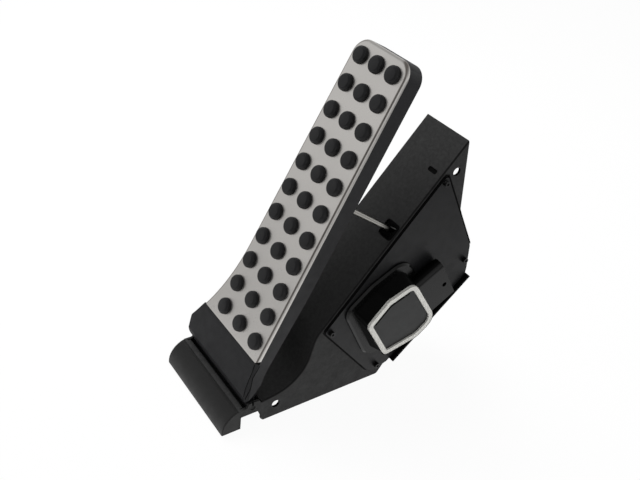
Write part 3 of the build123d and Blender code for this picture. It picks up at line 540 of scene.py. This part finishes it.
def mark_bends(material, share, leaves, reaches, colour):
    """Line of another colour where a sheet turns from a face across X to a face along X; it paints
    shade on the box's folds and a brown dark reflection on the tread's bend.
    """
    tree = material.node_tree
    across = facing_across(tree)
    leaving = spread(tree, across, 0.0, share, *leaves)
    reached = spread(tree, across, 1.0, 0.0, *reaches)
    mix_base(material, combined(tree, "MULTIPLY", leaving, reached), colour)


def darken_end(material):
    """Painted shade on the bright rod's end, darker where it runs into the box."""
    tree = material.node_tree
    coordinates = tree.nodes.new("ShaderNodeTexCoord")
    parts = tree.nodes.new("ShaderNodeSeparateXYZ")
    tree.links.new(coordinates.outputs["Object"], parts.inputs[0])
    forward = parts.outputs["Y"]
    inner = spread(tree, forward, 0.0, 1.0, ROD_DARK_FROM * MM, ROD_DARK_TO * MM)
    mix_base(material, inner, ROD_SHADE)


finishes = {}
for name, values in GRAINED_FINISHES.items():
    finishes[name] = grained(name, **values)
for name, values in BRUSHED_FINISHES.items():
    finishes[name] = brushed(name, **values)
# Painted shade: the rod darkens where it runs into the box.
darken_end(finishes["rod_steel"])
# Painted reflection: brown-tinted dark line along the tread plate's rolled edge.
mark_bends(finishes["tread_steel"], BEND_REFLECTION_SHARE, BEND_LEAVES, BEND_REACHES, BEND_REFLECTION_BROWN)
# Painted shade: near-black line along the folds of the box.
mark_bends(finishes["box_paint"], FOLD_DARK, FOLD_LEAVES, FOLD_REACHES, LINE_BLACK)
# Painted shadow gap: black matt rim on the side cover's edges.
darken_rim(finishes["cover_paint"])

for entry in frame["record"]["subparts"]:
    node = entry["node"]
    finish = NODE_FINISHES.get(node, entry["material_slot"])
    nodes[node].data.materials.clear()
    nodes[node].data.materials.append(finishes[finish])


# Faces with a second finish
def hole_wall(middle, normal):
    """Walls of the bolt holes and of the rod's slot, in the sheet's thickness, which get black as
    painted shade.
    """
    if abs(normal.x) < BOLT_WALL_FACING:
        for forward, up in BOLT_HOLES:
            if math.hypot(middle.y - forward, middle.z - up) < BOLT_REACH:
                return True
    near_slot = (middle - SLOT_MIDDLE).length < SLOT_REACH
    return near_slot and abs(normal.dot(PLATE_OUT)) < SLOT_WALL_FACING


def inside_box(middle, normal):
    """Inner faces of the folded box, and both faces of its left wall, which get the near-black
    finish of painted shade.
    """
    if normal.dot(PLATE_OUT) < PLATE_BACK_FACING:
        return True
    if abs(normal.x) < WALL_FACING:
        return False
    return abs(middle.x) < LEFT_WALL_REACH or middle.x * normal.x < 0.0


def sensor_side(middle, normal):
    """Side faces of the sensor housing, which get the shaded copy of its plastic."""
    return abs(normal.x) < SENSOR_SIDE_FACING


def pedal_side(middle, normal):
    """Side walls of the pedal body, which get the lit copy of its plastic."""
    return abs(normal.x) > PEDAL_SIDE_FACING


def give_faces(node, finish, chosen):
    """Second finish on the faces of a node that a rule chooses by their middle and normal."""
    mesh = nodes[node].data
    mesh.materials.append(finishes[finish])
    index = len(mesh.materials) - 1
    for face in mesh.polygons:
        if chosen(face.center / MM, face.normal):
            face.material_index = index


# Painted shade inside the box.
give_faces("pedal_box", "inside_shade_black", inside_box)
# Painted shade on the walls of the bolt holes and the rod's slot.
give_faces("pedal_box", "black_plug_and_shade", hole_wall)
# Painted shade on the sensor housing's sides.
give_faces("sensor_housing", "shaded_side_plastic", sensor_side)
# Painted light on the pedal body's side walls.
give_faces("pedal_body", "lit_side_plastic", pedal_side)


# Pieces that the scene adds
def scene_piece(name, mesh, finish, body):
    """Mesh of the scene that moves with a CAD body and takes one of the finishes."""
    mesh.materials.append(finishes[finish])
    piece = bpy.data.objects.new(name, mesh)
    scene.collection.objects.link(piece)
    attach(piece, body)
    return piece


def painted_block(name, low_corner, high_corner):
    """Plain block in the box's paint, between two corners in millimetres."""
    low = Vector(low_corner) * MM
    high = Vector(high_corner) * MM
    solid = bmesh.new()
    place = Matrix.LocRotScale((low + high) / 2.0, None, high - low)
    bmesh.ops.create_cube(solid, size=1.0, matrix=place)
    mesh = bpy.data.meshes.new(name)
    solid.to_mesh(mesh)
    solid.free()
    scene_piece(name, mesh, "box_paint", "bracket")


def outward(start, end):
    """Direction out of a counter-clockwise outline on its side from start to end."""
    along = (end - start).normalized()
    return Vector((along.y, -along.x))


def moved_out(outline, distance):
    """Closed convex outline, counter-clockwise, moved outwards by a distance."""
    moved = []
    for index, corner in enumerate(outline):
        before = outward(outline[index - 1], corner)
        after = outward(corner, outline[(index + 1) % len(outline)])
        middle = (before + after).normalized()
        moved.append(corner + middle * (distance / middle.dot(before)))
    return moved


def side_outline(node, spacing):
    """Convex outline of a node seen along X, counter-clockwise, as (Y, Z) points in metres."""
    corners = [Vector((vertex.co.y, vertex.co.z)) for vertex in nodes[node].data.vertices]
    hull = [corners[index] for index in convex_hull_2d(corners)]
    area = sum(a.x * b.y - a.y * b.x for a, b in zip(hull, hull[1:] + hull[:1]))
    if area < 0.0:
        hull.reverse()
    outline = [hull[0]]
    for corner in hull[1:]:
        if (corner - outline[-1]).length > spacing * MM:
            outline.append(corner)
    return outline


def band_mesh(name, points, count, sides):
    """Mesh of bands between closed loops of points, count in a loop, on the given sides."""
    faces = []
    for start in range(0, len(points) - count, count):
        for side in sides:
            after = (side + 1) % count
            near = (start + side, start + after)
            far = (start + count + side, start + count + after)
            faces.append((near[0], far[0], far[1], near[1]))
    mesh = bpy.data.meshes.new(name)
    mesh.from_pydata(points, [], faces)
    mesh.update()
    return mesh


def ring_piece(name, outline, rings, level, kept):
    """Black band on the kept sides of an outline; a ring is (distance outwards, height)."""
    points = []
    for distance, height in rings:
        for corner in moved_out(outline, distance * MM):
            points.append((level + height * MM, corner.x, corner.y))
    count = len(outline)
    sides = []
    for index, corner in enumerate(outline):
        if kept(outward(corner, outline[(index + 1) % count])):
            sides.append(index)
    mesh = band_mesh(name, points, count, sides)
    scene_piece(name, mesh, "black_plug_and_shade", "bracket")


def round_box(left, right, low, high, corner):
    """Rectangle with round corners, as (across, along) points counter-clockwise."""
    outline = []
    quarters = ((right, low, -90.0), (right, high, 0.0), (left, high, 90.0), (left, low, 180.0))
    for across, along, start in quarters:
        middle_across = across - math.copysign(corner, across - (left + right) / 2.0)
        middle_along = along - math.copysign(corner, along - (low + high) / 2.0)
        for step in range(SLOT_SHADE_STEPS + 1):
            turn = math.radians(start + 90.0 * step / SLOT_SHADE_STEPS)
            point_across = middle_across + corner * math.cos(turn)
            point_along = middle_along + corner * math.sin(turn)
            outline.append((point_across, point_along))
    return outline


def slot_shade_sheet():
    """Thin black sheet on the plate round the rod's slot, painted shade that widens the slot's dark
    opening.
    """
    inner = round_box(*SLOT_SHADE_INNER)
    outer = round_box(*SLOT_SHADE_OUTER)
    points = []
    for outline, thick in ((inner, SLOT_SHADE_THICK), (outer, SLOT_SHADE_THICK), (outer, 0.0)):
        for across, along in outline:
            point = PLATE_POINT + PLATE_UP * along + PLATE_OUT * thick
            points.append((point + Vector((across, 0.0, 0.0))) * MM)
    count = len(inner)
    mesh = band_mesh("slot_shade_sheet", points, count, range(count))
    scene_piece("slot_shade_sheet", mesh, "black_plug_and_shade", "bracket")


def crease_shade_line(name, points):
    """Thin black line of painted shade in a crease, along points on the pedal body."""
    curve = bpy.data.curves.new(name, "CURVE")
    curve.dimensions = "3D"
    curve.bevel_depth = CREASE_SHADE_RADIUS * MM
    curve.bevel_resolution = CREASE_SHADE_ROUNDNESS
    line = curve.splines.new("POLY")
    line.points.add(len(points) - 1)
    for point, place in zip(line.points, points):
        point.co = (*(Vector(place) * MM), 1.0)
    source = bpy.data.objects.new(name + "_line", curve)
    mesh = bpy.data.meshes.new_from_object(source)
    mesh.name = name
    scene_piece(name, mesh, "black_plug_and_shade", "pedal")
    bpy.data.objects.remove(source)


def stud_edges(solid):
    """Convex edges near the tops of the mat's studs."""
    top = max(vertex.co.dot(STUD_OUT) for vertex in solid.verts)
    edges = []
    for edge in solid.edges:
        if len(edge.link_faces) != 2 or not edge.is_convex:
            continue
        height = min(vertex.co.dot(STUD_OUT) for vertex in edge.verts)
        angle = math.degrees(edge.calc_face_angle(0.0))
        if height > top - STUD_TOP * MM and STUD_EDGE_LEAST < angle < STUD_EDGE_MOST:
            edges.append(edge)
    return edges


def soft_studs():
    """The CAD's rubber mat with the edges of its studs rounded."""
    solid = bmesh.new()
    solid.from_mesh(nodes["rubber_mat"].data)
    bmesh.ops.remove_doubles(solid, verts=solid.verts[:], dist=WELD_GAP * MM)
    bmesh.ops.dissolve_limit(
        solid,
        angle_limit=math.radians(FLAT_BELOW),
        verts=solid.verts[:],
        edges=solid.edges[:],
    )
    bmesh.ops.bevel(
        solid,
        geom=stud_edges(solid),
        offset=STUD_ROUND * MM,
        offset_type="OFFSET",
        segments=STUD_STEPS,
        profile=STUD_PROFILE,
        affect="EDGES",
        clamp_overlap=True,
    )
    mesh = bpy.data.meshes.new("stud_mat")
    solid.to_mesh(mesh)
    solid.free()
    mesh.shade_smooth()
    mesh.set_sharp_from_angle(angle=math.radians(SMOOTH_BELOW))
    piece = scene_piece("stud_mat", mesh, "mat_rubber", "pedal")
    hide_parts("rubber_mat")


painted_block("strip_tab", TAB_LOW, TAB_HIGH)
painted_block("upstand_lip", UPSTAND_LIP_LOW, UPSTAND_LIP_HIGH)
slot_shade_sheet()
soft_studs()
crease_shade_line("crease_shade_front", CREASE_SHADE_FRONT)
crease_shade_line("crease_shade_side", CREASE_SHADE_SIDE)
cover_outline = side_outline("side_cover", COVER_SPACING)
cover_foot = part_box("side_cover")[0].x
# Painted shadow gap round the side cover, as thin black bands.
ring_piece(
    "cover_gap_shade_top",
    cover_outline,
    GAP_SHADE_NARROW,
    cover_foot,
    lambda out: out.dot(GAP_SHADE_SIDE) > GAP_SHADE_TURN,
)
ring_piece(
    "cover_gap_shade",
    cover_outline,
    GAP_SHADE_WIDE,
    cover_foot,
    lambda out: out.dot(GAP_SHADE_SIDE) <= GAP_SHADE_TURN,
)
ring_piece(
    "cover_gap_shade_back",
    cover_outline,
    GAP_SHADE_FAR,
    cover_foot,
    lambda out: out.dot(GAP_SHADE_FAR_SIDE) > GAP_SHADE_FAR_TURN,
)
rim_outline = side_outline("sensor_rim", RIM_SPACING)
ring_piece(
    "rim_lip",
    rim_outline,
    RIM_LIP_RINGS,
    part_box("sensor_rim")[1].x,
    lambda out: out.dot(SENSOR_UP) < RIM_LIP_TURN,
)
# Painted shade: flat black strip along the lid's upper sides, inside the rim.
ring_piece(
    "lid_shade_strip",
    rim_outline,
    LID_SHADE_RINGS,
    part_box("sensor_lid")[1].x,
    lambda out: out.dot(SENSOR_UP) > LID_SHADE_TURN,
)


# Floor, room light, lamps and camera
def seen_directly(tree):
    """1 for rays from the camera, from a mirror or through glass, and 0 for the light's rays."""
    path = tree.nodes.new("ShaderNodeLightPath").outputs
    plain = combined(tree, "MAXIMUM", path["Is Camera Ray"], path["Is Transmission Ray"])
    return combined(tree, "MAXIMUM", plain, path["Is Glossy Ray"])


def pale_stage():
    """Floor that is white to the camera, keeps a faint shadow, and is plain to the light's rays."""
    bpy.ops.mesh.primitive_plane_add(size=FLOOR_SIZE, location=(0.0, 0.0, -FLOOR_GAP))
    floor = bpy.context.object
    floor.name = "floor"
    material, tree, shader, place = new_material("floor_white")
    shader.inputs["Base Color"].default_value = FLOOR_COLOUR
    shader.inputs["Roughness"].default_value = FLOOR_ROUGH
    shader.inputs["Specular IOR Level"].default_value = FLOOR_SPECULAR
    away = tree.nodes.new("ShaderNodeVectorMath")
    away.operation = "LENGTH"
    tree.links.new(place, away.inputs[0])
    fade = spread(tree, away.outputs["Value"], 1.0, FLOOR_FAR_SHARE, *FLOOR_FADE)
    path = tree.nodes.new("ShaderNodeLightPath").outputs
    strength = combined(tree, "MAXIMUM", fade, path["Is Camera Ray"])
    white = tree.nodes.new("ShaderNodeEmission")
    tree.links.new(strength, white.inputs["Strength"])
    share = spread(tree, seen_directly(tree), 0.0, FLOOR_WHITE_SHARE, 0.0, 1.0)
    mix = tree.nodes.new("ShaderNodeMixShader")
    tree.links.new(share, mix.inputs[0])
    tree.links.new(shader.outputs[0], mix.inputs[1])
    tree.links.new(white.outputs[0], mix.inputs[2])
    tree.links.new(mix.outputs[0], tree.nodes["Material Output"].inputs["Surface"])
    floor.data.materials.append(material)


def towards(tree, direction):
    """How far a world ray points towards a direction, from -1 to 1."""
    coordinates = tree.nodes.new("ShaderNodeTexCoord")
    along = tree.nodes.new("ShaderNodeVectorMath")
    along.operation = "DOT_PRODUCT"
    along.inputs[1].default_value = Vector(direction).normalized()
    tree.links.new(coordinates.outputs["Generated"], along.inputs[0])
    return along.outputs["Value"]


def white_world():
    """White to the camera; to mirrors and to the light's rays, a room with darker parts."""
    world = bpy.data.worlds.new("studio")
    world.use_nodes = True
    scene.world = world
    tree = world.node_tree
    tree.nodes.clear()
    strip = spread(tree, towards(tree, DARK_STRIP), 1.0, STRIP_SHARE, *STRIP_FADE)
    ceiling = spread(tree, towards(tree, CEILING), 1.0, CEILING_SHARE, *CEILING_FADE)
    level = spread(tree, seen_directly(tree), ROOM_LIGHT, MIRROR_LIGHT, 0.0, 1.0)
    parts = combined(tree, "MULTIPLY", strip, ceiling)
    room = tree.nodes.new("ShaderNodeBackground")
    room.inputs["Color"].default_value = WHITE
    tree.links.new(combined(tree, "MULTIPLY", parts, level), room.inputs["Strength"])
    shown = tree.nodes.new("ShaderNodeBackground")
    shown.inputs["Color"].default_value = WHITE
    shown.inputs["Strength"].default_value = 1.0
    path = tree.nodes.new("ShaderNodeLightPath").outputs
    mix = tree.nodes.new("ShaderNodeMixShader")
    tree.links.new(path["Is Camera Ray"], mix.inputs[0])
    tree.links.new(room.outputs[0], mix.inputs[1])
    tree.links.new(shown.outputs[0], mix.inputs[2])
    output = tree.nodes.new("ShaderNodeOutputWorld")
    tree.links.new(mix.outputs[0], output.inputs["Surface"])


def area_lamp(name, place, target, power):
    """Soft square lamp aimed at a target, and not seen in mirrors."""
    lamp = bpy.data.lights.new(name, "AREA")
    lamp.shape = "SQUARE"
    lamp.size = LAMP_SIDE
    lamp.energy = power
    holder = bpy.data.objects.new(name, lamp)
    scene.collection.objects.link(holder)
    holder.location = place
    holder.rotation_euler = (target - place).to_track_quat("-Z", "Y").to_euler()
    holder.visible_glossy = False


def photo_camera():
    """Camera solved from the photograph for a 640 by 480 frame."""
    camera = bpy.data.cameras.new("camera")
    camera.sensor_width = CAMERA_SENSOR
    camera.lens = CAMERA_LENS
    holder = bpy.data.objects.new("camera", camera)
    scene.collection.objects.link(holder)
    back = CAMERA_BACK.normalized()
    up = back.cross(CAMERA_RIGHT.normalized()).normalized()
    right = up.cross(back)
    turn = Matrix((right, up, back)).transposed().to_4x4()
    holder.matrix_world = Matrix.Translation(CAMERA_PLACE) @ turn
    scene.camera = holder


pale_stage()
white_world()
area_lamp("key", KEY_PLACE, KEY_TARGET, KEY_POWER)
area_lamp("fill", FILL_PLACE, FILL_TARGET, FILL_POWER)
photo_camera()
